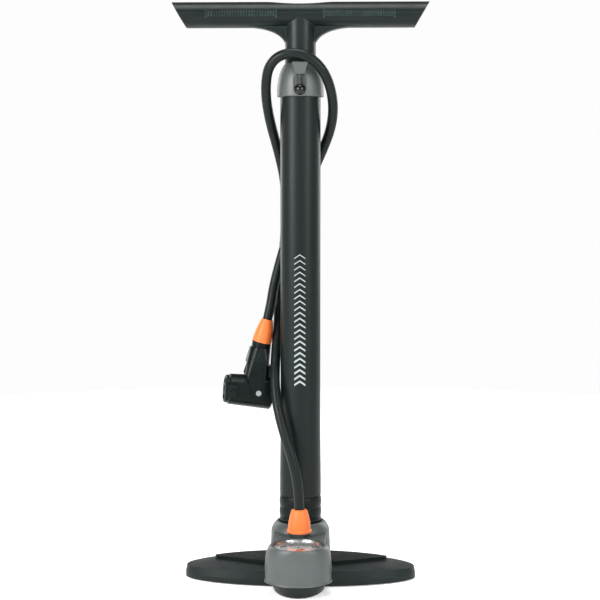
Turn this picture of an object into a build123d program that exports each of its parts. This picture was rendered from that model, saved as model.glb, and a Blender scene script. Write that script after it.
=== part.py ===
"""Floor bicycle pump with a base pressure gauge, a loose hose and a lever valve head.

Millimetres. The barrel stands on the Z axis, the floor is Z = 0, +X is the user's right
and -Y is the side of the gauge. Every separate piece is written to its own STEP file.
"""
import os
from math import cos, pi, radians, sin, sqrt, tan

from build123d import *

# ---------------------------------------------------------------- driving dimensions
TOTAL_HEIGHT = 641.0
FIT = 0.05  # radial running clearance

# Base plate: a crowned oval with a round tongue under the gauge
BASE_HALF_LENGTH = 129.5
BASE_HALF_DEPTH = 46.0
BASE_CENTRE_Y = -5.0
BASE_UNDERSIDE = 1.2
BASE_LEAN_FROM = 7.0
BASE_LEAN = 12.0
CROWN_TOP = 19.0
CROWN_RADIUS_X = 1600.0
CROWN_RADIUS_Y = 600.0
CROWN_CENTRE_Y = -8.0
TONGUE_CENTRE_Y = -47.0
CELL_DEPTH = 8.0
CELL_PITCH = 32.0
RIB = 2.5
PAD_RISE = 3.0

# Grey housing: a neck round the barrel and a hood round the gauge
HOUSING_FLOOR = 15.3
HOUSING_TOP = 54.2
HOUSING_WALL = 3.0
NECK_TOP = 63.8
NECK_BORE = 24.2
HOOD_HALF_WIDTH = 36.2
HOOD_FRONT = -106.5
HOOD_SHOULDER = -95.0
PLINTH_INSET = 9.0

# Pressure gauge
GAUGE_Y = -75.5
GAUGE_RADIUS = 26.9
LENS_RADIUS = 26.4
DIAL_TOP = 45.0
LENS_BOTTOM = 49.6
SECTOR_RADIUS = 13.5
PINION_RADIUS = 1.6
SECTOR_PIVOT = (-15.2, GAUGE_Y)
MOVEMENT_Z = 38.4

# Hose outlet
OUTLET_Y = -38.3
BOOT_BOTTOM = 59.4
BOOT_TOP = 84.6
HOSE_RADIUS = 5.5
HOSE_START_Z = 78.0
DUCT_Z = 22.0
DUCT_RADIUS = 2.0

# Barrel, its threaded collar and the base socket
BARREL_RADIUS = 22.3
BARREL_BORE = 20.7
BARREL_TOP = 554.0
BARREL_FLARE = 23.2
BARREL_SPIGOT = 21.6
COLLAR_FLOOR = 46.0
CHAMBER_FLOOR = 54.0
COLLAR_TOP = 92.6
SOCKET_BORE = 23.0
VALVE_CHAMBER = 8.5

# Piston and rod
ROD_RADIUS = 6.0
STUD_RADIUS = 4.0
PISTON_TOP = 80.0
PISTON_RADIUS = BARREL_BORE - FIT

# Top cap
CAP_BOTTOM = 537.4
CAP_TOP = 574.4
CAP_RADIUS = 25.8
BUSH_RADIUS = 10.5

# Handle
BAR_HALF_TOP = 141.5
BAR_HALF_BOTTOM = 125.0
BAR_BOTTOM = 612.8
BAR_HALF_DEPTH = 18.0
STEM_RADIUS = 17.0
STEM_BOTTOM = 574.7
WEB_HALF = 7.0
RIBS_PER_GRIP = 27
RIB_PITCH = 2.95
RIB_FIRST = 26.0

# Valve head, hung beside the barrel on its hose. U is measured from the lever pin up the neck.
HEAD_ORIGIN = Vector(-50.1, 16.0, 207.9)
HEAD_TURN = radians(10)
HEAD_TILT = radians(6)
CHUCK_RADIUS = 19.3
MOUTH_RADIUS = 17.2
CHUCK_BACK = -17.0
CHUCK_FRONT = 33.0
FLAT_HALF = 14.5
FLAT_END = 24.5
SHOULDER_U = 31.0
NECK_RADIUS = 11.0
NECK_U = 56.7
COLLAR_END = Vector(-37.6, 16.0, 289.9)

os.makedirs("parts", exist_ok=True)


def save(piece, label):
    """Name a finished piece and write it."""
    piece.label = label
    export_step(piece, f"parts/{label}.step")


def ring(z_low, z_high, outer, inner=0.0, centre=(0, 0)):
    """A disc or ring on an upright axis."""
    with BuildPart() as piece:
        with BuildSketch(Plane.XY.offset(z_low)):
            with Locations(centre):
                Circle(outer)
                if inner:
                    Circle(inner, mode=Mode.SUBTRACT)
        extrude(amount=z_high - z_low)
    return piece.part


def gauge_ring(z_low, z_high, outer, inner=0.0):
    """A disc or ring on the gauge's own upright axis."""
    return ring(z_low, z_high, outer, inner, centre=(0, GAUGE_Y))


# ---------------------------------------------------------------- base plate
def crown_block(rise):
    """A block whose top is the base's doubly curved crown, lifted by rise."""
    top = CROWN_TOP + rise
    half = 64.0
    edge = top - CROWN_RADIUS_Y + sqrt(CROWN_RADIUS_Y**2 - half**2)
    front = CROWN_CENTRE_Y - half
    back = CROWN_CENTRE_Y + half
    with BuildPart() as block:
        with BuildSketch(Plane.YZ):
            with BuildLine():
                ThreePointArc((front, edge), (CROWN_CENTRE_Y, top), (back, edge))
                Polyline((back, edge), (back, 0), (front, 0), (front, edge))
            make_face()
        revolve(axis=Axis((0, 0, top - CROWN_RADIUS_X), (0, 1, 0)), revolution_arc=9)
        mirror(about=Plane.YZ)
    return block.part


def hood_plan(inset):
    """The D-shaped plan of the gauge hood, moved in by inset."""
    half = HOOD_HALF_WIDTH - inset
    shoulder = HOOD_SHOULDER + inset
    with BuildSketch() as plan:
        with BuildLine():
            Polyline((-half, shoulder), (-half, -12), (half, -12), (half, shoulder))
            ThreePointArc((half, shoulder), (0, HOOD_FRONT + inset), (-half, shoulder))
        make_face()
    return plan.sketch


WING_FEET = [(-100, -4), (100, -4)]
ROUND_FEET = [(0, 0, 14.0), (0, -84, 9.0)]
SCREWS = [(-23.5, -40), (23.5, -40), (-20.5, 20.5), (20.5, 20.5)]
CROWN = crown_block(0)

with BuildPart() as base:
    with BuildSketch(Plane.XY.offset(BASE_UNDERSIDE)):
        with Locations((0, BASE_CENTRE_Y)):
            Ellipse(BASE_HALF_LENGTH, BASE_HALF_DEPTH)
    extrude(amount=BASE_LEAN_FROM - BASE_UNDERSIDE)
    with BuildSketch(Plane.XY.offset(BASE_LEAN_FROM)):
        with Locations((0, BASE_CENTRE_Y)):
            Ellipse(BASE_HALF_LENGTH, BASE_HALF_DEPTH)
    extrude(amount=CROWN_TOP, taper=BASE_LEAN)
    with BuildSketch():
        with Locations(*SCREWS):
            Circle(1.7)
    extrude(amount=30, mode=Mode.SUBTRACT)
    add(CROWN, mode=Mode.INTERSECT)
    with BuildSketch(Plane.XY.offset(BASE_UNDERSIDE)):
        with Locations((0, TONGUE_CENTRE_Y)):
            Ellipse(28.5, 50.0)
    with BuildSketch(Plane.XY.offset(HOUSING_FLOOR)):
        with Locations((0, TONGUE_CENTRE_Y)):
            Ellipse(33.0, 57.0)
    loft()
    with BuildSketch(Plane.XY.offset(HOUSING_FLOOR - 4)):
        add(hood_plan(PLINTH_INSET))
    extrude(amount=4)
    # Ribbed underside
    with BuildSketch(Plane.XY.offset(BASE_UNDERSIDE)):
        with Locations((0, BASE_CENTRE_Y)):
            Ellipse(BASE_HALF_LENGTH - 4, BASE_HALF_DEPTH - 4)
        with Locations((0, TONGUE_CENTRE_Y)):
            Ellipse(24.5, 46.0)
        with GridLocations(CELL_PITCH, 1, 9, 1):
            Rectangle(RIB, 300, mode=Mode.SUBTRACT)
        with Locations((0, 19), (0, -19), (0, -62)):
            Rectangle(300, RIB, mode=Mode.SUBTRACT)
        with Locations(*WING_FEET):
            SlotOverall(40, 19, rotation=90, mode=Mode.SUBTRACT)
        for x, y, radius in ROUND_FEET:
            with Locations((x, y)):
                Circle(radius + 3, mode=Mode.SUBTRACT)
        with Locations(*SCREWS):
            Circle(7, mode=Mode.SUBTRACT)
    extrude(amount=CELL_DEPTH, mode=Mode.SUBTRACT)
    # Pockets for the rubber feet
    with BuildSketch(Plane.XY.offset(BASE_UNDERSIDE)):
        with Locations(*WING_FEET):
            SlotOverall(34, 13, rotation=90)
        for x, y, radius in ROUND_FEET:
            with Locations((x, y)):
                Circle(radius)
    extrude(amount=2, mode=Mode.SUBTRACT)
    # Socket for the barrel collar, with the check valve's chamber under it
    with BuildSketch(Plane.XY.offset(CROWN_TOP - 4)):
        Circle(SOCKET_BORE + 2.4)
    extrude(amount=52 - CROWN_TOP + 4)
    with BuildSketch(Plane.XY.offset(COLLAR_FLOOR)):
        Circle(SOCKET_BORE)
    extrude(amount=10, mode=Mode.SUBTRACT)
    with BuildSketch(Plane.XY.offset(20)):
        Circle(VALVE_CHAMBER)
    extrude(amount=30, mode=Mode.SUBTRACT)
    with BuildSketch(Plane.XZ.offset(0)):
        with Locations((0, DUCT_Z)):
            Circle(DUCT_RADIUS)
    extrude(amount=30, mode=Mode.SUBTRACT)
    # Screw holes, through the tongue and its floor too
    with BuildSketch():
        with Locations(*SCREWS):
            Circle(3.7)
    extrude(amount=5.5, mode=Mode.SUBTRACT)
    with BuildSketch():
        with Locations(*SCREWS):
            Circle(1.7)
    extrude(amount=16, mode=Mode.SUBTRACT)
save(base.part, "base")

with BuildPart() as rubber_feet:
    with BuildSketch():
        with Locations(*WING_FEET):
            SlotOverall(34, 13, rotation=90)
        for x, y, radius in ROUND_FEET:
            with Locations((x, y)):
                Circle(radius)
    extrude(amount=BASE_UNDERSIDE + 2)
save(rubber_feet.part, "rubber_feet")

with BuildPart() as base_screws:
    with Locations(*[(x, y, 5.5) for x, y in SCREWS]):
        Cylinder(1.6, 19, align=(Align.CENTER, Align.CENTER, Align.MIN))
        Cylinder(3.5, 2.4, align=(Align.CENTER, Align.CENTER, Align.MAX))
save(base_screws.part, "base_screws")

PAD_OUTLINE = [(98, 19), (96, 13), (62, -8), (42, -18), (30, -21), (20, 30), (34, 34.5), (62, 30.5), (86, 24)]
PAD_SKIN = crown_block(PAD_RISE) - CROWN


def tread_pad(side):
    """The raised foot pad on one wing, a skin of even thickness over the crown."""
    with BuildPart() as pad:
        with BuildSketch():
            with BuildLine():
                Polyline(*[(side * x, y) for x, y in PAD_OUTLINE], close=True)
            make_face()
            Circle(35.5, mode=Mode.SUBTRACT)
            with Locations((0, -56)):
                Rectangle(2 * HOOD_HALF_WIDTH + 1, 80, mode=Mode.SUBTRACT)
        extrude(amount=60)
        add(PAD_SKIN, mode=Mode.INTERSECT)
    return pad.part


save(tread_pad(-1), "tread_pad_left")
save(tread_pad(1), "tread_pad_right")

# ---------------------------------------------------------------- grey housing
# Hood sections round the gauge: height, half width, half depth
HOOD_SECTIONS = [(HOUSING_FLOOR, 36.9, 31.8), (30, 36.2, 31.4), (42, 35.4, 31.1), (49, 33.8, 30.6),
                 (52.8, 31.8, 29.9), (HOUSING_TOP, 30.3, 29.3)]

with BuildPart() as hood_void:
    with BuildSketch(Plane.XY.offset(HOUSING_FLOOR + HOUSING_WALL)):
        with Locations((0, GAUGE_Y)):
            Ellipse(31.4, 27.2)
        with Locations((0, -40)):
            Rectangle(51, 46)
    extrude(amount=26)

with BuildPart() as gauge_housing:
    for height, half_width, half_depth in HOOD_SECTIONS:
        with BuildSketch(Plane.XY.offset(height)):
            with Locations((0, GAUGE_Y)):
                Ellipse(half_width, half_depth)
    loft()
    # Bridge behind the gauge, which carries the hose outlet
    with BuildSketch(Plane.XY.offset(HOUSING_FLOOR)):
        with Locations((0, -35)):
            Rectangle(57, 56)
    extrude(amount=HOUSING_TOP - HOUSING_FLOOR)
    # Neck round the barrel
    with BuildSketch(Plane.XZ):
        with BuildLine():
            Polyline((0, HOUSING_FLOOR), (34.4, HOUSING_FLOOR), (33.6, 34), (33.0, 49))
            ThreePointArc((33.0, 49), (31.4, 57.6), (27.0, NECK_TOP - 0.6))
            Polyline((27.0, NECK_TOP - 0.6), (26.0, NECK_TOP), (0, NECK_TOP), (0, HOUSING_FLOOR))
        make_face()
    revolve(axis=Axis.Z)
    # Hollow inside
    add(hood_void.part, mode=Mode.SUBTRACT)
    with BuildSketch(Plane.XY.offset(HOUSING_FLOOR)):
        add(hood_plan(PLINTH_INSET))
        Circle(30.5)
    extrude(amount=HOUSING_WALL, mode=Mode.SUBTRACT)
    with BuildSketch(Plane.XY.offset(HOUSING_FLOOR)):
        Circle(30.5)
    extrude(amount=37.5, mode=Mode.SUBTRACT)
    with BuildSketch(Plane.XY.offset(HOUSING_FLOOR)):
        Circle(NECK_BORE)
    extrude(amount=60, mode=Mode.SUBTRACT)
    add(gauge_ring(26, 60, GAUGE_RADIUS + 0.8), mode=Mode.SUBTRACT)
    # Hose outlet: a flared seat for the boot and a hole for the barb
    with BuildSketch(Plane.XZ.offset(-OUTLET_Y)):
        with BuildLine():
            Polyline((0, HOUSING_TOP - 1), (9.4, HOUSING_TOP - 1), (9.4, HOUSING_TOP), (14.2, BOOT_BOTTOM),
                     (0, BOOT_BOTTOM), (0, HOUSING_TOP - 1))
        make_face()
    revolve(axis=Axis((0, OUTLET_Y, 0), (0, 0, 1)))
    with BuildSketch(Plane.XY.offset(BOOT_BOTTOM)):
        with Locations((0, OUTLET_Y)):
            Circle(14.3)
    extrude(amount=20, mode=Mode.SUBTRACT)
    with BuildSketch(Plane.XY.offset(HOUSING_TOP - 2)):
        Circle(NECK_BORE)
    extrude(amount=20, mode=Mode.SUBTRACT)
    with BuildSketch(Plane.XY.offset(30)):
        with Locations((0, OUTLET_Y)):
            Circle(5.5)
    extrude(amount=30, mode=Mode.SUBTRACT)
    # Screw bosses
    with BuildSketch(Plane.XY.offset(HOUSING_FLOOR)):
        with Locations(*SCREWS):
            Circle(3.4)
    extrude(amount=16)
    with BuildSketch(Plane.XY.offset(HOUSING_FLOOR)):
        with Locations(*SCREWS):
            Circle(1.6)
    extrude(amount=12, mode=Mode.SUBTRACT)
    add(CROWN, mode=Mode.SUBTRACT)
save(gauge_housing.part, "gauge_housing")

# ---------------------------------------------------------------- air path
with BuildPart() as air_duct:
    with BuildSketch(Plane.XY.offset(17)):
        with Locations((0, -56)):
            Rectangle(12, 60)
    extrude(amount=9.5)
    add(CROWN, mode=Mode.SUBTRACT)
    with BuildSketch(Plane.XY):
        Circle(SOCKET_BORE + 2.4)
    extrude(amount=60, mode=Mode.SUBTRACT)
    with BuildSketch(Plane.XZ.offset(20)):
        with Locations((0, DUCT_Z)):
            Circle(DUCT_RADIUS)
    extrude(amount=58, mode=Mode.SUBTRACT)
    with BuildSketch(Plane.XY.offset(DUCT_Z)):
        with Locations((0, OUTLET_Y), (0, GAUGE_Y)):
            Circle(DUCT_RADIUS)
    extrude(amount=10, mode=Mode.SUBTRACT)
save(air_duct.part, "air_duct")

with BuildPart() as outlet_barb:
    with BuildSketch(Plane.XZ.offset(-OUTLET_Y)):
        with BuildLine():
            Polyline((1.5, 26.5), (5.3, 26.5), (5.3, 58), (3.2, 58), (4.4, 62), (3.2, 62), (4.4, 67),
                     (3.2, 67), (4.4, 72), (3.2, 72), (3.2, HOSE_START_Z), (1.5, HOSE_START_Z), close=True)
        make_face()
    revolve(axis=Axis((0, OUTLET_Y, 0), (0, 0, 1)))
save(outlet_barb.part, "outlet_barb")

with BuildPart() as hose_boot:
    with BuildSketch(Plane.XZ.offset(-OUTLET_Y)):
        with BuildLine():
            Polyline((HOSE_RADIUS, BOOT_BOTTOM), (13.6, BOOT_BOTTOM), (13.6, BOOT_BOTTOM + 2.2),
                     (12.7, BOOT_BOTTOM + 3.2))
            ThreePointArc((12.7, BOOT_BOTTOM + 3.2), (11.5, 73), (8.7, BOOT_TOP - 1.2))
            Polyline((8.7, BOOT_TOP - 1.2), (7.7, BOOT_TOP), (HOSE_RADIUS, BOOT_TOP),
                     (HOSE_RADIUS, BOOT_BOTTOM))
        make_face()
    revolve(axis=Axis((0, OUTLET_Y, 0), (0, 0, 1)))
save(hose_boot.part, "hose_boot")

# ---------------------------------------------------------------- pressure gauge
with BuildPart() as gauge_case:
    add(gauge_ring(29, LENS_BOTTOM - 0.1, GAUGE_RADIUS))
    add(gauge_ring(30.2, LENS_BOTTOM, GAUGE_RADIUS - 1), mode=Mode.SUBTRACT)
    add(gauge_ring(29, 30.2, 4.5), mode=Mode.SUBTRACT)
save(gauge_case.part, "gauge_case")

with BuildPart() as gauge_stem:
    add(gauge_ring(26.5, 32.0, 4.5))
    with BuildSketch(Plane.XY.offset(30.2)):
        with Locations((0, GAUGE_Y - 9.5)):
            Rectangle(5, 23)
    extrude(amount=1.8)
    with BuildSketch(Plane.XY.offset(32)):
        with Locations((0, GAUGE_Y - 19)):
            Rectangle(5, 4)
    extrude(amount=9)
    add(gauge_ring(26.5, 31.0, 1.0), mode=Mode.SUBTRACT)
save(gauge_stem.part, "gauge_stem")

with BuildPart() as bourdon_tube:
    with BuildSketch(Plane(origin=(0, GAUGE_Y, 0), x_dir=(0.2, -1, 0), z_dir=(-1, -0.2, 0))):
        with Locations((19, 37)):
            Ellipse(1.2, 2.6)
    revolve(axis=Axis((0, GAUGE_Y, 0), (0, 0, 1)), revolution_arc=235)
save(bourdon_tube.part, "bourdon_tube")

with BuildPart() as movement_plate:
    with BuildSketch(Plane.XY.offset(32.2)):
        with Locations((SECTOR_PIVOT[0] / 2, GAUGE_Y)):
            SlotOverall(-SECTOR_PIVOT[0] + 7, 7)
        with Locations((0, GAUGE_Y)):
            Circle(0.85, mode=Mode.SUBTRACT)
    extrude(amount=1.6)
    with BuildSketch(Plane.XY.offset(33.8)):
        with Locations(SECTOR_PIVOT):
            Circle(0.95)
    extrude(amount=7.5)
save(movement_plate.part, "movement_plate")

with BuildPart() as gauge_sector:
    with BuildSketch(Plane.XY.offset(MOVEMENT_Z)):
        with Locations(SECTOR_PIVOT):
            with BuildLine():
                fan = CenterArc(SECTOR_PIVOT, SECTOR_RADIUS, -34, 48)
                Line(fan @ 1, SECTOR_PIVOT)
                Line(SECTOR_PIVOT, fan @ 0)
            make_face()
    with BuildSketch(Plane.XY.offset(MOVEMENT_Z)):
        with Locations(SECTOR_PIVOT):
            Circle(2.4)
    extrude(amount=1.4)
    with BuildSketch(Plane.XY.offset(MOVEMENT_Z)):
        with Locations(SECTOR_PIVOT):
            Circle(0.95 + FIT)
    extrude(amount=1.4, mode=Mode.SUBTRACT)
save(gauge_sector.part, "gauge_sector")

with BuildPart() as needle_arbor:
    add(gauge_ring(32.2, DIAL_TOP + 2.4, 0.8))
    add(gauge_ring(MOVEMENT_Z - 0.2, MOVEMENT_Z + 1.6, PINION_RADIUS))
save(needle_arbor.part, "needle_arbor")

with BuildPart() as gauge_needle:
    add(gauge_ring(DIAL_TOP + 1, DIAL_TOP + 2, 2.6))
    with BuildSketch(Plane.XY.offset(DIAL_TOP + 1.2)):
        with Locations(Location((0, GAUGE_Y, 0), (0, 0, 45))):
            Polygon((-22, 0), (0, 1.1), (7.5, 1.9), (7.5, -1.9), (0, -1.1), align=None)
    extrude(amount=0.6)
    add(gauge_ring(DIAL_TOP + 1, DIAL_TOP + 2, 0.8), mode=Mode.SUBTRACT)
save(gauge_needle.part, "gauge_needle")

save(gauge_ring(DIAL_TOP - 0.7, DIAL_TOP, GAUGE_RADIUS - 1.1, 1.2), "gauge_dial")

save(gauge_ring(LENS_BOTTOM, LENS_BOTTOM + 1.8, LENS_RADIUS), "gauge_lens")

with BuildPart() as gauge_bezel:
    with BuildSketch(Plane.XZ.offset(-GAUGE_Y)):
        with BuildLine():
            Polyline((LENS_RADIUS, LENS_BOTTOM), (27.6, LENS_BOTTOM), (27.6, LENS_BOTTOM + 3),
                     (26.9, LENS_BOTTOM + 3.7), (26.2, LENS_BOTTOM + 3.5), (25.2, LENS_BOTTOM + 1.8),
                     (LENS_RADIUS, LENS_BOTTOM + 1.8), close=True)
        make_face()
    revolve(axis=Axis((0, GAUGE_Y, 0), (0, 0, 1)))
save(gauge_bezel.part, "gauge_bezel")

# ---------------------------------------------------------------- barrel
with BuildPart() as barrel:
    with BuildSketch(Plane.XZ):
        with BuildLine():
            Polyline((BARREL_BORE, CHAMBER_FLOOR), (BARREL_SPIGOT, CHAMBER_FLOOR), (BARREL_SPIGOT, 94),
                     (BARREL_FLARE, 94), (BARREL_FLARE, 97))
            Bezier((BARREL_FLARE, 97), (BARREL_FLARE, 130), (BARREL_RADIUS, 150), (BARREL_RADIUS, 190))
            Polyline((BARREL_RADIUS, 190), (BARREL_RADIUS, BARREL_TOP), (BARREL_BORE, BARREL_TOP),
                     (BARREL_BORE, CHAMBER_FLOOR))
        make_face()
    revolve(axis=Axis.Z)
save(barrel.part, "barrel")

with BuildPart() as barrel_collar:
    with BuildSketch(Plane.XZ):
        with BuildLine():
            Polyline((3, COLLAR_FLOOR), (22.9, COLLAR_FLOOR), (22.9, 64))
            ThreePointArc((22.9, 64), (23.5, 66.4), (22.9, 69))
            ThreePointArc((22.9, 69), (23.7, 74.7), (22.9, 80.4))
            ThreePointArc((22.9, 80.4), (23.7, 86.2), (22.9, 92))
            Polyline((22.9, 92), (22.6, COLLAR_TOP), (BARREL_SPIGOT, COLLAR_TOP),
                     (BARREL_SPIGOT, CHAMBER_FLOOR), (3, CHAMBER_FLOOR), (3, COLLAR_FLOOR))
        make_face()
    revolve(axis=Axis.Z)
    with BuildSketch(Plane.XZ):
        with Locations((22.9, 56)):
            Rectangle(2.4, 2.4)
    revolve(axis=Axis.Z, mode=Mode.SUBTRACT)
save(barrel_collar.part, "barrel_collar")

with BuildPart() as collar_seal:
    with BuildSketch(Plane.XZ):
        with Locations((22.9, 56)):
            Circle(1.15)
    revolve(axis=Axis.Z)
save(collar_seal.part, "collar_seal")

with BuildPart() as check_valve_disc:
    add(ring(44.4, 45.9, 6.0))
    with BuildSketch(Plane.XY.offset(40.4)):
        Circle(3.2)
    extrude(amount=4)
save(check_valve_disc.part, "check_valve_disc")

SPRING_COIL = 4.3
SPRING_WIRE = 0.45
with BuildPart() as check_valve_spring:
    with BuildLine():
        coil = Helix(pitch=3.6, height=23.4, radius=SPRING_COIL, center=(0, 0, 20.5))
    with BuildSketch(Plane(origin=coil @ 0, z_dir=coil % 0)):
        Circle(SPRING_WIRE)
    sweep()
save(check_valve_spring.part, "check_valve_spring")

# ---------------------------------------------------------------- piston and rod
with BuildPart() as piston_nut:
    with BuildSketch(Plane.XY.offset(55)):
        RegularPolygon(7.5, 6)
        Circle(STUD_RADIUS, mode=Mode.SUBTRACT)
    extrude(amount=4)
save(piston_nut.part, "piston_nut")

save(ring(59, 60.5, 12, STUD_RADIUS + FIT), "piston_washer")

with BuildPart() as piston_cup:
    add(ring(60.5, 68.5, PISTON_RADIUS, STUD_RADIUS + FIT))
    with BuildSketch(Plane.XY.offset(60.5)):
        Circle(18.6)
        Circle(12.6, mode=Mode.SUBTRACT)
    extrude(amount=5, mode=Mode.SUBTRACT)
save(piston_cup.part, "piston_cup")

with BuildPart() as piston_body:
    add(ring(68.5, PISTON_TOP, PISTON_RADIUS - 0.05, STUD_RADIUS + FIT))
    with BuildSketch(Plane.XZ):
        with Locations((PISTON_RADIUS, 75)):
            Rectangle(3.4, 4)
    revolve(axis=Axis.Z, mode=Mode.SUBTRACT)
save(piston_body.part, "piston_body")

with BuildPart() as piston_rod:
    with BuildSketch(Plane.XY.offset(54.6)):
        Circle(STUD_RADIUS)
    extrude(amount=PISTON_TOP - 54.6)
    with BuildSketch(Plane.XY.offset(PISTON_TOP)):
        Circle(ROD_RADIUS)
    extrude(amount=611 - PISTON_TOP)
save(piston_rod.part, "piston_rod")

save(ring(584, 611, 9, ROD_RADIUS), "rod_insert")

# ---------------------------------------------------------------- top cap
with BuildPart() as cap:
    with BuildSketch(Plane.XZ):
        with BuildLine():
            Polyline((BARREL_RADIUS, CAP_BOTTOM), (CAP_RADIUS - 0.6, CAP_BOTTOM),
                     (CAP_RADIUS, CAP_BOTTOM + 1), (CAP_RADIUS, CAP_BOTTOM + 7))
            Bezier((CAP_RADIUS, CAP_BOTTOM + 7), (25.4, 555.2), (23.2, 567.2), (STEM_RADIUS - 0.6, CAP_TOP))
            Polyline((STEM_RADIUS - 0.6, CAP_TOP), (9, CAP_TOP), (9, 572.2), (BUSH_RADIUS, 572.2),
                     (BUSH_RADIUS, 557), (14.5, 557), (14.5, BARREL_TOP), (BARREL_RADIUS, BARREL_TOP),
                     (BARREL_RADIUS, CAP_BOTTOM))
        make_face()
    revolve(axis=Axis.Z)
    # Shallow bay in the front for the hose hook
    with BuildSketch(Plane.XZ.offset(23.3)):
        with BuildLine():
            Polyline((-9.5, 578), (-9.5, 564.2), (-6.8, 550.2), (-6.8, 545.6))
            ThreePointArc((-6.8, 545.6), (0, 538.9), (6.8, 545.6))
            Polyline((6.8, 545.6), (6.8, 550.2), (9.5, 564.2), (9.5, 578), (-9.5, 578))
        make_face()
    extrude(amount=20, mode=Mode.SUBTRACT)
save(cap.part, "cap")

save(ring(557, 572.2, BUSH_RADIUS, ROD_RADIUS + FIT), "rod_bush")

save(ring(572.2, CAP_TOP, 9, ROD_RADIUS + FIT), "rod_wiper")

save(ring(547, 557, 14.5, ROD_RADIUS + 0.5), "top_bumper")

with BuildPart() as hose_hook:
    with BuildSketch(Plane.XZ.offset(18)):
        Polygon((-8.6, 573.8), (8.6, 573.8), (5.6, 561.0), (-4.4, 561.0), align=None)
    extrude(amount=11.5)
    chamfer(hose_hook.edges().filter_by(Axis.X).sort_by(Axis.Z)[0:1], length=2)
    with BuildSketch(Plane.XY.offset(540)):
        Circle(STEM_RADIUS + 0.4)
    extrude(amount=60, mode=Mode.SUBTRACT)
    add(cap.part, mode=Mode.SUBTRACT)
save(hose_hook.part.solids().sort_by(SortBy.VOLUME)[-1], "hose_hook")

with BuildPart() as hook_stud:
    with BuildSketch(Plane.XY.offset(546)):
        with Locations((0.4, -26.0)):
            Circle(2.6)
    extrude(amount=561 - 546)
    with Locations((0.4, -26.0, 544.5)):
        Sphere(6.2)
    add(cap.part, mode=Mode.SUBTRACT)
    add(hose_hook.part, mode=Mode.SUBTRACT)
save(hook_stud.part.solids().sort_by(SortBy.VOLUME)[-1], "hook_stud")

# ---------------------------------------------------------------- handle
BAR_MID = (BAR_BOTTOM + TOTAL_HEIGHT) / 2
BAR_HALF_HEIGHT = (TOTAL_HEIGHT - BAR_BOTTOM) / 2

with BuildPart() as trumpet:
    with BuildSketch(Plane.XZ):
        with BuildLine():
            Polyline((0, 590), (STEM_RADIUS, 590), (STEM_RADIUS, 596.0))
            Bezier((STEM_RADIUS, 596.0), (20.5, 604.5), (33, 612.5), (58.0, 613.6))
            Polyline((58.0, 613.6), (56.0, 620), (0, 626), (0, 590))
        make_face()
    revolve(axis=Axis.Z)
    Box(200, 2 * WEB_HALF, 1400, mode=Mode.INTERSECT)

with BuildPart() as handle:
    with BuildSketch(Plane.YZ.offset(-BAR_HALF_TOP)):
        with Locations((0, BAR_MID)):
            Ellipse(BAR_HALF_DEPTH, BAR_HALF_HEIGHT)
    extrude(amount=2 * BAR_HALF_TOP)
    # Slanted ends, the bottom shorter than the top
    with BuildSketch(Plane.XZ.offset(-50)):
        for side in (-1, 1):
            with BuildLine():
                Polyline((side * BAR_HALF_TOP, TOTAL_HEIGHT), (side * BAR_HALF_BOTTOM, BAR_BOTTOM),
                         (side * BAR_HALF_BOTTOM, BAR_BOTTOM - 20), (side * 180, BAR_BOTTOM - 20),
                         (side * 180, TOTAL_HEIGHT), close=True)
            make_face()
    extrude(amount=100, mode=Mode.SUBTRACT)
    # Shallow dip in the middle of the top
    with BuildSketch(Plane.XZ.offset(-50)):
        with BuildLine():
            Bezier((-46, TOTAL_HEIGHT), (-28, TOTAL_HEIGHT), (-24, 638.2), (0, 638.2))
            Bezier((0, 638.2), (24, 638.2), (28, TOTAL_HEIGHT), (46, TOTAL_HEIGHT))
            Line((46, TOTAL_HEIGHT), (-46, TOTAL_HEIGHT))
        make_face()
    extrude(amount=100, mode=Mode.SUBTRACT)
    add(trumpet.part)
    with BuildSketch(Plane.XY.offset(STEM_BOTTOM)):
        Circle(STEM_RADIUS)
    extrude(amount=TOTAL_HEIGHT - 16 - STEM_BOTTOM)
    # Short grip ribs along the middle of each grip, with a taller one at each end of the row
    for side in (-1, 1):
        for number in range(RIBS_PER_GRIP):
            place = side * (RIB_FIRST + number * RIB_PITCH)
            tall = 8.4 if number in (0, RIBS_PER_GRIP - 1) else 5.6
            with BuildSketch(Plane.YZ.offset(place - 0.6)):
                with Locations((0, BAR_MID)):
                    Ellipse(BAR_HALF_DEPTH + 0.9, BAR_HALF_HEIGHT)
                    Ellipse(BAR_HALF_DEPTH - 1.5, BAR_HALF_HEIGHT - 1.5, mode=Mode.SUBTRACT)
                with Locations((-BAR_HALF_DEPTH, BAR_MID)):
                    Rectangle(8, tall, mode=Mode.INTERSECT)
            extrude(amount=1.2)
    # Bore for the rod's threaded insert
    with BuildSketch(Plane.XY.offset(STEM_BOTTOM)):
        Circle(ROD_RADIUS + 0.3)
    extrude(amount=611 - STEM_BOTTOM, mode=Mode.SUBTRACT)
    with BuildSketch(Plane.XY.offset(584)):
        Circle(9)
    extrude(amount=27, mode=Mode.SUBTRACT)
save(handle.part, "handle")

# ---------------------------------------------------------------- valve head
MOUTH_WAY = Vector(-cos(HEAD_TURN) * cos(HEAD_TILT), -sin(HEAD_TURN) * cos(HEAD_TILT), sin(HEAD_TILT))
PIN_WAY = Vector(sin(HEAD_TURN), -cos(HEAD_TURN), 0)
UP_WAY = PIN_WAY.cross(MOUTH_WAY) * -1
ACROSS = Plane(origin=HEAD_ORIGIN, x_dir=PIN_WAY, z_dir=MOUTH_WAY)
SIDE = Plane(origin=HEAD_ORIGIN, x_dir=MOUTH_WAY, z_dir=PIN_WAY * -1)
UPRIGHT = Plane(origin=HEAD_ORIGIN, x_dir=MOUTH_WAY, z_dir=UP_WAY)
NECK_END = HEAD_ORIGIN + UP_WAY * NECK_U
NECK_WAY = (COLLAR_END - NECK_END).normalized()


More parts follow.
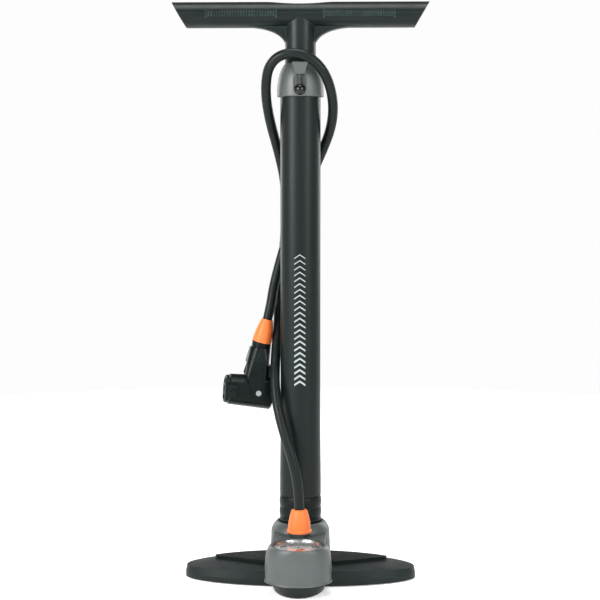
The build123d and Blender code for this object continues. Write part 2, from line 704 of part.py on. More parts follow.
def along_mouth(start, end, outer, inner=0.0):
    """A disc or ring on the chuck's axis, from start to end towards the mouth."""
    with BuildPart() as piece:
        with BuildSketch(ACROSS.offset(start)):
            Circle(outer)
            if inner:
                Circle(inner, mode=Mode.SUBTRACT)
        extrude(amount=end - start)
    return piece.part


def up_neck(sections):
    """A loft of ellipses up the neck: each section is (height, half width to the mouth, half depth)."""
    with BuildPart() as piece:
        for height, wide, deep in sections:
            with BuildSketch(UPRIGHT.offset(height)):
                Ellipse(wide, deep)
        loft(ruled=True)
    return piece.part


with BuildPart() as head_body:
    with BuildSketch(SIDE):
        with BuildLine():
            Polyline((CHUCK_BACK, 0), (CHUCK_BACK, CHUCK_RADIUS - 1.8), (CHUCK_BACK + 1.8, CHUCK_RADIUS),
                     (CHUCK_FRONT - 1.6, MOUTH_RADIUS), (CHUCK_FRONT, MOUTH_RADIUS - 1.4),
                     (CHUCK_FRONT, 0), (CHUCK_BACK, 0))
        make_face()
    revolve(axis=Axis(HEAD_ORIGIN, MOUTH_WAY))
    for way in (-1, 1):
        with BuildSketch(SIDE.offset(way * FLAT_HALF)):
            with Locations(((FLAT_END + CHUCK_BACK) / 2 - 1, 0)):
                Rectangle(FLAT_END - CHUCK_BACK + 2, 2 * CHUCK_RADIUS + 2)
        extrude(amount=way * 20, mode=Mode.SUBTRACT)
    add(up_neck([(0, 14.9, 14.3), (SHOULDER_U, 14.9, 14.3)]))
    add(up_neck([(0, NECK_RADIUS + 0.5, NECK_RADIUS + 0.5),
                 (NECK_U + 2, NECK_RADIUS - 0.3, NECK_RADIUS - 0.3)]))
    add(along_mouth(4, CHUCK_FRONT, 10), mode=Mode.SUBTRACT)
    with BuildSketch(SIDE.offset(-30)):
        Circle(2.2)
    extrude(amount=60, mode=Mode.SUBTRACT)
    # The collar's seat squares off the top of the neck
    with BuildSketch(Plane(origin=NECK_END, z_dir=NECK_WAY)):
        Circle(30)
    extrude(amount=20, mode=Mode.SUBTRACT)
save(head_body.part, "head_body")

# The lever is a half sleeve round the neck, with a cheek down each side of the chuck to the pin
LEVER_TOP_U = 50.0
WINDOW_U = 32.6
LEVER_SECTIONS = [(-9, 32.0, 35.4, 2.5), (18, 32.0, 35.4, 5.0), (34, 30.8, 33.4, 10.0),
                  (LEVER_TOP_U, 25.8, 26.6, 12.6)]
with BuildPart() as head_lever:
    for height, wide, deep, corner in LEVER_SECTIONS:
        with BuildSketch(UPRIGHT.offset(height)):
            RectangleRounded(wide, deep, corner)
    loft(ruled=True)
    add(up_neck([(WINDOW_U - 0.1, 12.6, 14.6), (LEVER_TOP_U, 11.6, 12.0)]), mode=Mode.SUBTRACT)
    with BuildSketch(UPRIGHT.offset(-20)):
        Rectangle(60, 2 * (FLAT_HALF + 0.1))
    extrude(amount=20 + WINDOW_U, mode=Mode.SUBTRACT)
    # Straight inner sides, so that the sleeve swings off the neck
    with BuildSketch(UPRIGHT.offset(WINDOW_U)):
        with Locations((-5, 0)):
            Rectangle(10, 2 * (NECK_RADIUS + 0.5))
    extrude(amount=20, mode=Mode.SUBTRACT)
    with BuildSketch(SIDE.offset(-30)):
        Polygon((5.6, -1.6), (15.6, 19.6), (15.6, 60), (-5.5, 60), (-7.2, 0), align=None)
        Circle(7.3)
    extrude(amount=60, mode=Mode.INTERSECT)
    with BuildSketch(SIDE.offset(-30)):
        Circle(2.2 + FIT)
    extrude(amount=60, mode=Mode.SUBTRACT)
save(head_lever.part, "head_lever")

PIN_HALF = 18.4
with BuildPart() as lever_pin:
    with BuildSketch(SIDE.offset(-PIN_HALF)):
        Circle(2.2)
    extrude(amount=2 * PIN_HALF)
    for way in (-1, 1):
        with BuildSketch(SIDE.offset(way * PIN_HALF)):
            Circle(3.1)
        extrude(amount=way * 1.0)
save(lever_pin.part, "lever_pin")

with BuildPart() as head_plunger:
    add(along_mouth(4.3, 18.5, 9.92, 3))
save(head_plunger.part, "head_plunger")

with BuildPart() as valve_gasket:
    add(along_mouth(22, CHUCK_FRONT, 10, 4.0))
save(valve_gasket.part, "valve_gasket")

with BuildPart() as gasket_nut:
    mouth = HEAD_ORIGIN + MOUTH_WAY * CHUCK_FRONT
    with BuildSketch(Plane(origin=mouth, x_dir=MOUTH_WAY, z_dir=PIN_WAY * -1)):
        with BuildLine():
            Polyline((0, 4.6), (0, 15.8), (2.6, 15.8), (4, 14.4), (4, 12.4), (2.4, 12.4), (2.4, 7.4),
                     (4, 7.4), (4, 4.6), close=True)
        make_face()
    revolve(axis=Axis(HEAD_ORIGIN, MOUTH_WAY))
save(gasket_nut.part, "gasket_nut")

with BuildPart() as head_collar:
    with BuildSketch(Plane(origin=NECK_END, z_dir=NECK_WAY)):
        Circle(NECK_RADIUS)
    with BuildSketch(Plane(origin=NECK_END + NECK_WAY * 13, z_dir=NECK_WAY)):
        Circle(9.6)
    with BuildSketch(Plane(origin=COLLAR_END, z_dir=NECK_WAY)):
        Circle(6.3)
    loft()
    with BuildSketch(Plane(origin=COLLAR_END, z_dir=NECK_WAY * -1)):
        Circle(HOSE_RADIUS)
    extrude(amount=8, mode=Mode.SUBTRACT)
save(head_collar.part, "head_collar")

# ---------------------------------------------------------------- hose
# From the base outlet it rises across the barrel's front, passes behind the barrel, loops over
# the hook at the front of the handle's stem, and comes back behind the barrel to the head.
HOSE_ROUTE = [
    (0, -38.3, 78),
    (0, -38.3, 106),
    (-8, -37, 142),
    (-20.5, -30, 178),
    (-28.2, -14.5, 213),
    (-28.4, 6, 248),
    (-26, 27, 282),
    (-25.5, 40, 322),
    (-20.5, 45.5, 364),
    (-17.5, 45, 406),
    (-18.5, 39, 446),
    (-26, 27, 480),
    (-33.5, 12.5, 508),
    (-37.5, -2, 532),
    (-37.7, -12, 551),
    (-34.5, -19.5, 568.5),
    (-24, -25.5, 580.2),
    (-7, -28.5, 584.2),
    (10, -29, 579.7),
    (24.4, -25, 567),
    (33.2, -16, 548.6),
    (36.8, -4, 526),
    (33.6, 9, 503),
    (24.5, 20, 480),
    (12, 29, 453),
    (-1, 33, 421),
    (-13, 32, 391),
    (-22.5, 28.5, 360),
    (-31, 22.5, 327),
    (-34.58, 15.53, 301.5),
    (-39.61, 16.31, 282.16),
]


def bend_radii(route):
    """The tangent arc at each corner, as large as its two runs allow."""
    points = [Vector(*point) for point in route]
    radii = []
    for before, corner, after in zip(points, points[1:], points[2:]):
        run_in = corner - before
        run_out = after - corner
        shorter = min(run_in.length, run_out.length)
        radii.append(0.45 * shorter / tan(radians(run_in.get_angle(run_out)) / 2))
    return radii


radii = bend_radii(HOSE_ROUTE)
with BuildPart() as hose:
    with BuildLine():
        route = FilletPolyline(*HOSE_ROUTE, radius=radii)
    with BuildSketch(Plane(origin=route @ 0, z_dir=route % 0)):
        Circle(HOSE_RADIUS)
    sweep()
save(hose.part, "hose")
print("hose bend radii (mm):", [round(radius, 1) for radius in radii])
print("hose length (mm):", round(route.length, 1))
print("hose volume ratio:", round(hose.part.volume / (pi * HOSE_RADIUS**2 * route.length), 4))
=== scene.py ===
import math

import bpy
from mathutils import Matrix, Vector


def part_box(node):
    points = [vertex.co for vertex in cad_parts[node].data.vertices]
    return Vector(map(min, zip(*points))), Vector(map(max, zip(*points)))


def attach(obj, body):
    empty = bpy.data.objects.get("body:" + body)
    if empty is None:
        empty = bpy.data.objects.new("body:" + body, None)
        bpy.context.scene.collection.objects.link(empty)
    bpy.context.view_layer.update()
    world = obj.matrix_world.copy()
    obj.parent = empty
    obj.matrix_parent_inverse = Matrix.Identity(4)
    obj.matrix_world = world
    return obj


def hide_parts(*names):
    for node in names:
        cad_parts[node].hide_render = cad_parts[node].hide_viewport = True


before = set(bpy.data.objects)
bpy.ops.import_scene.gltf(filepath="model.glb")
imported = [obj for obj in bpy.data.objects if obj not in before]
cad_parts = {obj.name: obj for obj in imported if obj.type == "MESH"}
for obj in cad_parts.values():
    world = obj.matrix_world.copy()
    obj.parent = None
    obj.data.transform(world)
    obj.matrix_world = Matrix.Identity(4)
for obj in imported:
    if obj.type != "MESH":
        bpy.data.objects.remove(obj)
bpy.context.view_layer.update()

# ---------------------------------------------------------------- camera
LENS_MM = 88.62
SENSOR_MM = 36.0
CAMERA_PLACE = (0.0511, -1.64089, 0.4522)
CAMERA_TURN = (math.radians(85.15), 0.0, math.radians(1.8))

camera_data = bpy.data.cameras.new("camera")
camera_data.sensor_width = SENSOR_MM
camera_data.lens = LENS_MM
camera = bpy.data.objects.new("camera", camera_data)
camera.location = CAMERA_PLACE
camera.rotation_euler = CAMERA_TURN
bpy.context.collection.objects.link(camera)
bpy.context.scene.camera = camera

# ---------------------------------------------------------------- hose
HOSE_DIAMETER = 0.011
HOSE_ROUTE = (
    (0.0, -0.0383, 0.078),
    (0.0, -0.0383, 0.106),
    (-0.008, -0.037, 0.142),
    (-0.0205, -0.03, 0.178),
    (-0.0282, -0.0145, 0.213),
    (-0.0284, 0.006, 0.248),
    (-0.026, 0.027, 0.282),
    (-0.0255, 0.04, 0.322),
    (-0.0205, 0.0455, 0.364),
    (-0.0175, 0.045, 0.406),
    (-0.0185, 0.039, 0.446),
    (-0.026, 0.027, 0.48),
    (-0.0335, 0.0125, 0.508),
    (-0.0375, -0.002, 0.532),
    (-0.0377, -0.012, 0.551),
    (-0.0345, -0.0195, 0.5685),
    (-0.024, -0.0255, 0.5802),
    (-0.007, -0.0285, 0.5842),
    (0.01, -0.029, 0.5797),
    (0.0244, -0.025, 0.567),
    (0.0332, -0.016, 0.5486),
    (0.0368, -0.004, 0.526),
    (0.0336, 0.009, 0.503),
    (0.0245, 0.02, 0.48),
    (0.012, 0.029, 0.453),
    (-0.001, 0.033, 0.421),
    (-0.013, 0.032, 0.391),
    (-0.0225, 0.0285, 0.36),
    (-0.031, 0.0225, 0.327),
    (-0.03458, 0.01553, 0.3015),
    (-0.03961, 0.01631, 0.28216),
)


def hose_curve():
    data = bpy.data.curves.new("hose_tube", "CURVE")
    data.dimensions = "3D"
    data.bevel_depth = 1.0  # times each point's radius
    data.bevel_resolution = 8
    data.resolution_u = 10
    data.use_fill_caps = True
    spline = data.splines.new("NURBS")
    spline.points.add(len(HOSE_ROUTE) - 1)
    for point, place in zip(spline.points, HOSE_ROUTE):
        point.co = (*place, 1.0)
        point.radius = HOSE_DIAMETER / 2
    spline.order_u = 3
    spline.use_endpoint_u = True
    tube = bpy.data.objects.new("hose_tube", data)
    bpy.context.collection.objects.link(tube)
    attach(tube, "pump_body")
    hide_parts("hose")
    return tube


hose_tube = hose_curve()

# ---------------------------------------------------------------- material kit
# The dot product of rounded and flat normals where an edge starts to count, and where it counts fully
EDGE_START = 0.995
EDGE_FULL = 0.90
EDGE_RADIUS = 0.0008
COAT_ROUGHNESS = 0.12


def new_material(name):
    made = bpy.data.materials.new(name)
    made.use_nodes = True
    return made, made.node_tree, made.node_tree.nodes["Principled BSDF"]


def object_coords(tree, stretch=(1.0, 1.0, 1.0), turn=(0.0, 0.0, 0.0)):
    place = tree.nodes.new("ShaderNodeTexCoord")
    mapping = tree.nodes.new("ShaderNodeMapping")
    mapping.inputs["Scale"].default_value = stretch
    mapping.inputs["Rotation"].default_value = turn
    tree.links.new(place.outputs["Object"], mapping.inputs["Vector"])
    return mapping.outputs["Vector"]


def noise(tree, vector, scale, detail=2.0, rough=0.5, twist=0.0):
    made = tree.nodes.new("ShaderNodeTexNoise")
    made.inputs["Scale"].default_value = scale
    made.inputs["Detail"].default_value = detail
    made.inputs["Roughness"].default_value = rough
    made.inputs["Distortion"].default_value = twist
    tree.links.new(vector, made.inputs["Vector"])
    return made.outputs["Fac"]


def remap(tree, value, from_low, from_high, to_low, to_high):
    made = tree.nodes.new("ShaderNodeMapRange")
    made.inputs["From Min"].default_value = from_low
    made.inputs["From Max"].default_value = from_high
    made.inputs["To Min"].default_value = to_low
    made.inputs["To Max"].default_value = to_high
    tree.links.new(value, made.inputs["Value"])
    return made.outputs["Result"]


def blend_colour(tree, factor, first, second):
    made = tree.nodes.new("ShaderNodeMix")
    made.data_type = "RGBA"
    tree.links.new(factor, made.inputs["Factor"])
    for socket, colour in (("A", first), ("B", second)):
        target = [entry for entry in made.inputs if entry.name == socket and entry.type == "RGBA"][0]
        if isinstance(colour, tuple):
            target.default_value = (*colour, 1.0)
        else:
            tree.links.new(colour, target)
    return [entry for entry in made.outputs if entry.type == "RGBA"][0]


def arithmetic(tree, kind, first, second):
    made = tree.nodes.new("ShaderNodeMath")
    made.operation = kind
    for socket, value in zip(made.inputs, (first, second)):
        if isinstance(value, (int, float)):
            socket.default_value = value
        else:
            tree.links.new(value, socket)
    return made.outputs["Value"]


def raise_surface(tree, height, distance, strength=1.0, under=None):
    made = tree.nodes.new("ShaderNodeBump")
    made.inputs["Distance"].default_value = distance
    made.inputs["Strength"].default_value = strength
    tree.links.new(height, made.inputs["Height"])
    if under is not None:
        tree.links.new(under, made.inputs["Normal"])
    return made.outputs["Normal"]


def worn_edges(tree, radius, vector, amount, least=0.0):
    """How far each point is along an edge that hands and floors rub, broken up by noise; the same mask
    also carries painted highlight on edges.
    """
    rounded = tree.nodes.new("ShaderNodeBevel")
    rounded.samples = 4
    rounded.inputs["Radius"].default_value = radius
    flat = tree.nodes.new("ShaderNodeNewGeometry")
    dot = tree.nodes.new("ShaderNodeVectorMath")
    dot.operation = "DOT_PRODUCT"
    tree.links.new(rounded.outputs["Normal"], dot.inputs[0])
    tree.links.new(flat.outputs["Normal"], dot.inputs[1])
    sharp = remap(tree, dot.outputs["Value"], EDGE_START, EDGE_FULL, 0.0, 1.0)
    patches = remap(tree, noise(tree, vector, 90.0, 4.0, 0.6), 0.42, 0.62, least, amount)
    return arithmetic(tree, "MULTIPLY", sharp, patches)


def scaled(colour, factor):
    return tuple(min(1.0, channel * factor) for channel in colour)


def plastic(name, colour, rough, specular, grain=1400.0, depth=0.00003, edge_wear_and_highlight=0.35, edge_wear_and_highlight_lift=2.6, shade=0.22,
            rough_swing=0.07, coat=0.0, least_edge_wear_and_highlight=0.0):
    """Moulded plastic: spark-eroded grain, faint flow clouding, handling marks and rubbed edges, which
    can also be lightened hard as a painted highlight.
    """
    made, tree, shader = new_material(name)
    vector = object_coords(tree)
    cloud = remap(tree, noise(tree, vector, 26.0, 3.0, 0.55, 0.6), 0.3, 0.7, 0.0, 1.0)
    body = blend_colour(tree, cloud, scaled(colour, 1.0 - shade), scaled(colour, 1.0 + shade))
    speck = remap(tree, noise(tree, vector, 1900.0, 1.0), 0.56, 0.74, 0.0, 0.35)
    body = blend_colour(tree, speck, body, scaled(colour, 1.8))
    # Edges lightened through the edge mask: rubbed wear, and on the handle a painted highlight on the
    # grip ribs.
    if edge_wear_and_highlight:
        rubbed_and_highlit = worn_edges(tree, EDGE_RADIUS, vector, edge_wear_and_highlight, least_edge_wear_and_highlight)
        body = blend_colour(tree, rubbed_and_highlit, body, scaled(colour, edge_wear_and_highlight_lift))
    tree.links.new(body, shader.inputs["Base Color"])
    handled = noise(tree, vector, 55.0, 5.0, 0.62)
    tree.links.new(remap(tree, handled, 0.3, 0.7, rough - rough_swing, rough + rough_swing),
                   shader.inputs["Roughness"])
    shader.inputs["Specular IOR Level"].default_value = specular
    shader.inputs["Coat Weight"].default_value = coat
    shader.inputs["Coat Roughness"].default_value = COAT_ROUGHNESS
    sink = raise_surface(tree, noise(tree, vector, 38.0, 2.0), 0.00025, 0.35)
    tree.links.new(raise_surface(tree, noise(tree, vector, grain, 2.0), depth, 1.0, sink),
                   shader.inputs["Normal"])
    return made


def rubber(name, colour, rough, specular=0.35, grain=900.0, depth=0.00005, dust=0.3):
    """Rubber: matt skin with a fine pebble and a little pale dust lying in patches."""
    made, tree, shader = new_material(name)
    vector = object_coords(tree)
    dusty = remap(tree, noise(tree, vector, 34.0, 5.0, 0.65), 0.48, 0.75, 0.0, dust)
    body = blend_colour(tree, dusty, colour, scaled(colour, 2.4))
    pores = remap(tree, noise(tree, vector, 1500.0, 1.0), 0.3, 0.5, 0.6, 0.0)
    body = blend_colour(tree, pores, body, scaled(colour, 0.5))
    tree.links.new(body, shader.inputs["Base Color"])
    tree.links.new(remap(tree, noise(tree, vector, 70.0, 4.0), 0.3, 0.7, rough - 0.08, rough + 0.1),
                   shader.inputs["Roughness"])
    shader.inputs["Specular IOR Level"].default_value = specular
    tree.links.new(raise_surface(tree, noise(tree, vector, grain, 3.0), depth), shader.inputs["Normal"])
    return made


def metal(name, colour, rough, stretch=(40.0, 40.0, 900.0), depth=0.00001, tarnish=0.25):
    """Turned, drawn or plated metal: tool lines along one way, and faint tarnish."""
    made, tree, shader = new_material(name)
    lines = noise(tree, object_coords(tree, stretch), 1.0, 4.0, 0.6)
    vector = object_coords(tree)
    spots = remap(tree, noise(tree, vector, 120.0, 4.0, 0.6), 0.45, 0.75, 0.0, tarnish)
    body = blend_colour(tree, spots, colour, scaled(colour, 0.55))
    tree.links.new(body, shader.inputs["Base Color"])
    shader.inputs["Metallic"].default_value = 1.0
    tree.links.new(remap(tree, lines, 0.3, 0.7, rough * 0.75, rough * 1.3), shader.inputs["Roughness"])
    tree.links.new(raise_surface(tree, lines, depth), shader.inputs["Normal"])
    return made


def powder_coat(name, colour, rough, specular):
    """Powder coat on a drawn tube: orange peel, faint lines up the tube and small scuffs."""
    made, tree, shader = new_material(name)
    vector = object_coords(tree)
    cloud = remap(tree, noise(tree, vector, 18.0, 3.0), 0.3, 0.7, 0.0, 1.0)
    body = blend_colour(tree, cloud, scaled(colour, 0.88), scaled(colour, 1.12))
    drawn = noise(tree, object_coords(tree, (320.0, 320.0, 5.0)), 1.0, 3.0, 0.6)
    scuffs = noise(tree, object_coords(tree, (160.0, 160.0, 30.0), (0.4, 0.3, 0.0)), 1.0, 5.0, 0.7, 0.8)
    scuffed = remap(tree, scuffs, 0.70, 0.80, 0.0, 0.5)
    body = blend_colour(tree, scuffed, body, scaled(colour, 2.2))
    tree.links.new(body, shader.inputs["Base Color"])
    smooth = remap(tree, drawn, 0.3, 0.7, rough - 0.03, rough + 0.04)
    tree.links.new(arithmetic(tree, "ADD", smooth, remap(tree, scuffs, 0.62, 0.78, 0.0, 0.12)),
                   shader.inputs["Roughness"])
    shader.inputs["Specular IOR Level"].default_value = specular
    peel = raise_surface(tree, noise(tree, vector, 520.0, 2.0), 0.00003)
    tree.links.new(raise_surface(tree, drawn, 0.00002, 0.6, peel), shader.inputs["Normal"])
    return made


def clear_lens(name):
    """Clear moulded lens with faint smears."""
    made, tree, shader = new_material(name)
    vector = object_coords(tree)
    shader.inputs["Base Color"].default_value = (1.0, 1.0, 1.0, 1.0)
    shader.inputs["Transmission Weight"].default_value = 1.0
    shader.inputs["IOR"].default_value = 1.49
    smears = noise(tree, vector, 60.0, 5.0, 0.6, 1.2)
    tree.links.new(remap(tree, smears, 0.45, 0.75, 0.0, 0.06), shader.inputs["Roughness"])
    ripple = raise_surface(tree, noise(tree, vector, 30.0, 1.0), 0.00004, 0.5)
    tree.links.new(ripple, shader.inputs["Normal"])
    return made


# ---------------------------------------------------------------- materials on the CAD nodes
BLACK = (0.0062, 0.0108, 0.0104)
GREY = (0.050, 0.059, 0.057)

finishes = {
    "base": plastic("moulded_black", scaled(BLACK, 0.75), 0.42, 0.18),
    "barrel_collar": plastic("collar_black", scaled(BLACK, 0.6), 0.36, 0.10, edge_wear_and_highlight=0.2),
    "tread_pad_left": rubber("tread_rubber", scaled(BLACK, 0.6), 0.60, 0.14, grain=700.0, depth=0.00009),
    "rubber_feet": rubber("foot_rubber", BLACK, 0.75, 0.2),
    "gauge_housing": plastic("housing_grey", GREY, 0.40, 0.40, edge_wear_and_highlight_lift=1.5, shade=0.06),
    # The handle's strongly lightened edges are painted highlight on the grip ribs, with a little real
    # rubbing.
    "handle": plastic("handle_black", scaled(BLACK, 0.7), 0.36, 0.15, grain=1100.0, depth=0.00004,
                      edge_wear_and_highlight=0.9, edge_wear_and_highlight_lift=13.0, least_edge_wear_and_highlight=0.4),
    "barrel": powder_coat("barrel_paint", (0.0030, 0.0064, 0.0060), 0.38, 0.17),
    "head_body": plastic("head_black", scaled(BLACK, 0.5), 0.28, 0.10, depth=0.00002),
    "hose_boot": plastic("orange_plastic", (0.56, 0.125, 0.028), 0.40, 0.20, edge_wear_and_highlight_lift=1.1, shade=0.06),
    "hose": rubber("hose_rubber", scaled(BLACK, 0.6), 0.38, 0.16, depth=0.00003),
    "base_screws": metal("zinc_steel", (0.60, 0.60, 0.58), 0.32),
    "lever_pin": metal("pin_steel", (0.30, 0.31, 0.31), 0.34),
    "piston_rod": metal("chromed_rod", (0.16, 0.165, 0.17), 0.30, (500.0, 500.0, 12.0), 0.000004, 0.08),
    "gauge_bezel": metal("chrome_trim", (0.70, 0.71, 0.72), 0.26, (30.0, 30.0, 400.0), 0.000003, 0.05),
    "gauge_case": metal("plated_case", (0.5, 0.5, 0.49), 0.3),
    "gauge_stem": metal("brass", (0.78, 0.57, 0.25), 0.25),
    "gauge_lens": clear_lens("lens_clear"),
    "gauge_dial": plastic("dial_white", (0.74, 0.75, 0.74), 0.5, 0.35, edge_wear_and_highlight=0.0, shade=0.04),
    "gauge_needle": plastic("needle_red", (0.62, 0.035, 0.02), 0.3, 0.5, edge_wear_and_highlight=0.0, shade=0.1),
    "air_duct": plastic("duct_plastic", (0.05, 0.05, 0.05), 0.5, 0.35),
    "hook_stud": plastic("stud_gloss", (0.003, 0.004, 0.004), 0.10, 0.22, depth=0.000004, edge_wear_and_highlight=0.0,
                         rough_swing=0.03, coat=0.15),
    "piston_cup": rubber("seal_rubber", (0.012, 0.012, 0.012), 0.55),
}
same_finish = {
    "tread_pad_left": ("tread_pad_right",),
    "gauge_housing": ("cap", "hose_hook"),
    "head_body": ("head_lever", "gasket_nut"),
    "hose_boot": ("head_collar",),
    "base_screws": ("piston_nut", "piston_washer", "check_valve_spring"),
    "gauge_stem": ("bourdon_tube", "movement_plate", "gauge_sector", "needle_arbor", "outlet_barb",
                   "rod_insert"),
    "air_duct": ("piston_body", "rod_bush", "head_plunger"),
    "piston_cup": ("collar_seal", "check_valve_disc", "rod_wiper", "top_bumper", "valve_gasket"),
}


def dress(piece, made):
    """Gives a piece one material all over."""
    piece.data.materials.clear()
    piece.data.materials.append(made)
    for face in getattr(piece.data, "polygons", ()):
        face.material_index = 0


for name, made in finishes.items():
    for node_name in (name, *same_finish.get(name, ())):
        dress(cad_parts[node_name], made)
dress(hose_tube, finishes["hose"])

# ---------------------------------------------------------------- printed and fitted details
BARREL_RADIUS = 0.0223
PRINT_SINK = 0.00002
BARREL_PRINT_RISE = 0.00006
DIAL_PRINT_RISE = 0.00006


def solid_mesh(name, body, slot, made, vertices, faces):
    """A detail made from its own vertices and faces, riding on a body."""
    data = bpy.data.meshes.new(name)
    data.from_pydata(vertices, [], faces)
    data.update()
    piece = bpy.data.objects.new(name, data)
    bpy.context.collection.objects.link(piece)
    data.materials.append(made)
    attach(piece, body)


def on_barrel(point, level):
    """Wraps a flat (across, up) point round the front of the barrel."""
    across, up = point
    radius = BARREL_RADIUS - PRINT_SINK + level * (BARREL_PRINT_RISE + PRINT_SINK)
    turn = across / BARREL_RADIUS
    return (radius * math.sin(turn), -radius * math.cos(turn), up)


POINTS_PER_PAIR = 4


def strip_plate(pairs, place):
    """Closed thin plate between a lower and an upper edge: pairs run from one end to the other."""
    vertices = []
    faces = []
    for lower, upper in pairs:
        for point in (lower, upper):
            for level in (0, 1):
                vertices.append(place(point, level))
    for step in range(len(pairs) - 1):
        a = POINTS_PER_PAIR * step
        b = a + POINTS_PER_PAIR
        faces.append((a + 1, b + 1, b + 3, a + 3))
        faces.append((a, a + 2, b + 2, b))
        faces.append((a + 2, a + 3, b + 3, b + 2))
        faces.append((a, b, b + 1, a + 1))
    last = POINTS_PER_PAIR * (len(pairs) - 1)
    faces.append((0, 1, 3, 2))
    faces.append((last, last + 2, last + 3, last + 1))
    return vertices, faces


def join_plates(plates):
    """Several plates as one list of vertices and one of faces."""
    vertices = []
    faces = []
    for plate_vertices, plate_faces in plates:
        start = len(vertices)
        vertices.extend(plate_vertices)
        faces.extend(tuple(index + start for index in face) for face in plate_faces)
    return vertices, faces


# A plain column of chevrons up the front of the barrel, thinner towards the top
CHEVRON_HALF = 0.0062
CHEVRON_RISE = 0.0042
CHEVRON_PITCH = 0.0064
CHEVRON_LOW = 0.219
CHEVRON_COUNT = 23
CHEVRON_STEPS = 8
CHEVRON_THICK = 0.0024
CHEVRON_THINNING = 0.00006


def chevron(low, thick):
    """One chevron as a thin plate, pointing up."""
    pairs = []
    for step in range(CHEVRON_STEPS + 1):
        across = CHEVRON_HALF * (2 * step / CHEVRON_STEPS - 1)
        up = low + CHEVRON_RISE * (1 - abs(across) / CHEVRON_HALF)
        pairs.append(((across, up), (across, up + thick)))
    return strip_plate(pairs, on_barrel)


print_grey = plastic("barrel_print", (0.26, 0.29, 0.285), 0.42, 0.4, edge_wear_and_highlight=0.0, shade=0.08)
chevrons = [chevron(CHEVRON_LOW + number * CHEVRON_PITCH, CHEVRON_THICK - CHEVRON_THINNING * number)
            for number in range(CHEVRON_COUNT)]
solid_mesh("barrel_chevrons", "pump_body", "housing_grey", print_grey, *join_plates(chevrons))

# Dial graphics: a tick for every fifth of a bar and plain numbers
dial_low, dial_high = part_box("gauge_dial")
DIAL_CENTRE = ((dial_low[0] + dial_high[0]) / 2, (dial_low[1] + dial_high[1]) / 2)
DIAL_FACE = dial_high[2]
DIAL_RADIUS = (dial_high[0] - dial_low[0]) / 2
SCALE_START = math.radians(225)
SCALE_SWEEP = math.radians(270)
BARS_SHOWN = 12
TICKS_PER_BAR = 5
TICK_MARGIN = 0.0013
MAJOR_TICK_DEPTH = 0.0044
MINOR_TICK_DEPTH = 0.0028
MAJOR_TICK_HALF = 0.00028
MINOR_TICK_HALF = 0.00013


def on_dial(point, level):
    """Lays a flat point on the dial's face."""
    height = DIAL_FACE - PRINT_SINK + level * (DIAL_PRINT_RISE + PRINT_SINK)
    return (DIAL_CENTRE[0] + point[0], DIAL_CENTRE[1] + point[1], height)


def scale_angle(bars):
    """Where a pressure lies round the dial."""
    return SCALE_START - SCALE_SWEEP * bars / BARS_SHOWN


def tick(bars, inner, outer, half):
    """One radial mark between two radii."""
    way = scale_angle(bars)
    along = (math.cos(way), math.sin(way))
    side = (-along[1] * half, along[0] * half)
    pairs = []
    for reach in (inner, outer):
        x = along[0] * reach
        y = along[1] * reach
        pairs.append(((x - side[0], y - side[1]), (x + side[0], y + side[1])))
    return strip_plate(pairs, on_dial)


ticks = []
for number in range(BARS_SHOWN * TICKS_PER_BAR + 1):
    major = number % TICKS_PER_BAR == 0
    depth = MAJOR_TICK_DEPTH if major else MINOR_TICK_DEPTH
    half = MAJOR_TICK_HALF if major else MINOR_TICK_HALF
    ticks.append(tick(number / TICKS_PER_BAR, DIAL_RADIUS - depth, DIAL_RADIUS - TICK_MARGIN, half))

# Each number is drawn with straight strokes in a box one unit high
DIGIT_WIDTH = 0.56
STROKES = {
    "top": ((0.0, 1.0), (DIGIT_WIDTH, 1.0)),
    "middle": ((0.0, 0.5), (DIGIT_WIDTH, 0.5)),
    "foot": ((0.0, 0.0), (DIGIT_WIDTH, 0.0)),
    "left_high": ((0.0, 0.5), (0.0, 1.0)),
    "left_low": ((0.0, 0.0), (0.0, 0.5)),
    "right_high": ((DIGIT_WIDTH, 0.5), (DIGIT_WIDTH, 1.0)),
    "right_low": ((DIGIT_WIDTH, 0.0), (DIGIT_WIDTH, 0.5)),
}
DIGITS = {
    "0": ("top", "foot", "left_high", "left_low", "right_high", "right_low"),
    "1": ("right_high", "right_low"),
    "2": ("top", "right_high", "middle", "left_low", "foot"),
    "4": ("left_high", "middle", "right_high", "right_low"),
    "6": ("top", "left_high", "left_low", "foot", "right_low", "middle"),
    "8": ("top", "foot", "middle", "left_high", "left_low", "right_high", "right_low"),
}
NUMBER_RADIUS = DIAL_RADIUS - 0.0078
NUMBER_HEIGHT = 0.0034
NUMBER_ADVANCE = NUMBER_HEIGHT * 0.86
NUMBER_GAP = NUMBER_HEIGHT * 0.3
NUMBER_STEP = 2
STROKE_HALF = 0.00026


def stroke(start, end, corner):
    """One straight stroke with square ends, its number's lower left at corner."""
    points = [(corner[0] + x * NUMBER_HEIGHT, corner[1] + y * NUMBER_HEIGHT) for x, y in (start, end)]
    way = math.atan2(points[1][1] - points[0][1], points[1][0] - points[0][0])
    side = (-math.sin(way) * STROKE_HALF, math.cos(way) * STROKE_HALF)
    reach = (math.cos(way) * STROKE_HALF, math.sin(way) * STROKE_HALF)
    pairs = []
    for point, sign in zip(points, (-1, 1)):
        x = point[0] + sign * reach[0]
        y = point[1] + sign * reach[1]
        pairs.append(((x - side[0], y - side[1]), (x + side[0], y + side[1])))
    return strip_plate(pairs, on_dial)


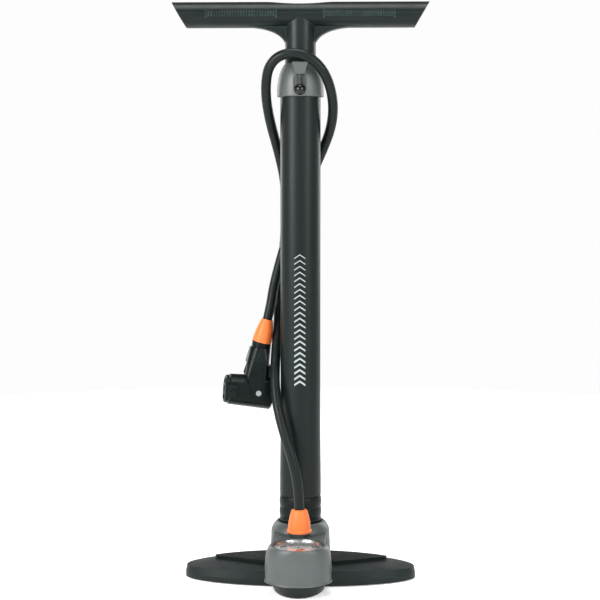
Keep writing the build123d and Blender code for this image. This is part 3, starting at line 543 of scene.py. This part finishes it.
numbers = []
for bars in range(0, BARS_SHOWN + 1, NUMBER_STEP):
    text = str(bars)
    way = scale_angle(bars)
    start = NUMBER_RADIUS * math.cos(way) - (len(text) * NUMBER_ADVANCE - NUMBER_GAP) / 2
    low = NUMBER_RADIUS * math.sin(way) - NUMBER_HEIGHT / 2
    for place, digit in enumerate(text):
        for name in DIGITS[digit]:
            numbers.append(stroke(*STROKES[name], (start + place * NUMBER_ADVANCE, low)))

print_black = plastic("dial_print", (0.02, 0.02, 0.02), 0.5, 0.3, edge_wear_and_highlight=0.0, shade=0.08)
solid_mesh("dial_ticks", "pump_body", "collar_black", print_black, *join_plates(ticks))
solid_mesh("dial_numbers", "pump_body", "collar_black", print_black, *join_plates(numbers))

# ---------------------------------------------------------------- light and floor
AIM = Vector((0.0, -0.02, 0.3))


def soft_box(name, azimuth, distance, height, size_x, size_y, watts):
    """A rectangular light aimed at the pump, azimuth degrees round from its front."""
    data = bpy.data.lights.new(name, "AREA")
    data.shape = "RECTANGLE"
    data.size = size_x
    data.size_y = size_y
    data.energy = watts
    lamp = bpy.data.objects.new(name, data)
    turn = math.radians(azimuth)
    lamp.location = (distance * math.sin(turn), -distance * math.cos(turn), height)
    lamp.rotation_euler = (AIM - lamp.location).to_track_quat("-Z", "Y").to_euler()
    bpy.context.collection.objects.link(lamp)


soft_box("strip_left", -46, 1.5, 0.85, 0.70, 1.0, 34.0)
soft_box("strip_right", 44, 1.5, 0.85, 0.60, 1.0, 17.0)
soft_box("front_high", 8, 1.9, 1.15, 0.9, 0.5, 6.0)
soft_box("overhead", 0, 0.2, 1.9, 1.0, 1.0, 26.0)
soft_box("rear_left", -140, 1.6, 0.8, 0.5, 1.2, 8.0)
soft_box("rear_right", 140, 1.6, 0.8, 0.5, 1.2, 8.0)

# Studio walls: a white band round the horizon, falling to a grey ceiling
BAND_LEVEL = 0.98
BAND_TOP = 0.16
CEILING_LEVEL = 0.12
CEILING_START = 0.45
WHITE = (1.0, 1.0, 1.0, 1.0)


def studio_world():
    world = bpy.data.worlds.new("studio")
    world.use_nodes = True
    tree = world.node_tree
    way = tree.nodes.new("ShaderNodeTexCoord")
    split = tree.nodes.new("ShaderNodeSeparateXYZ")
    tree.links.new(way.outputs["Generated"], split.inputs["Vector"])
    level = remap(tree, split.outputs["Z"], BAND_TOP, CEILING_START, BAND_LEVEL, CEILING_LEVEL)
    tree.links.new(level, tree.nodes["Background"].inputs["Strength"])
    tree.nodes["Background"].inputs["Color"].default_value = WHITE
    return world


bpy.context.scene.world = studio_world()
bpy.context.scene.view_settings.view_transform = "Standard"

FLOOR_RADIUS = 1.5
FLOOR_SIDES = 96
FLOOR_PALE = (0.88, 0.88, 0.88, 1.0)
FLOOR_GLOW = 0.3


def make_floor():
    data = bpy.data.meshes.new("studio_floor")
    turns = [math.tau * side / FLOOR_SIDES for side in range(FLOOR_SIDES)]
    rim = [(FLOOR_RADIUS * math.cos(turn), FLOOR_RADIUS * math.sin(turn), 0) for turn in turns]
    data.from_pydata(rim, [], [tuple(range(FLOOR_SIDES))])
    floor = bpy.data.objects.new("studio_floor", data)
    bpy.context.collection.objects.link(floor)
    made, tree, shader = new_material("studio_floor")
    shader.inputs["Base Color"].default_value = FLOOR_PALE
    shader.inputs["Roughness"].default_value = 0.8
    shader.inputs["Emission Color"].default_value = WHITE
    shader.inputs["Emission Strength"].default_value = FLOOR_GLOW
    data.materials.append(made)


make_floor()
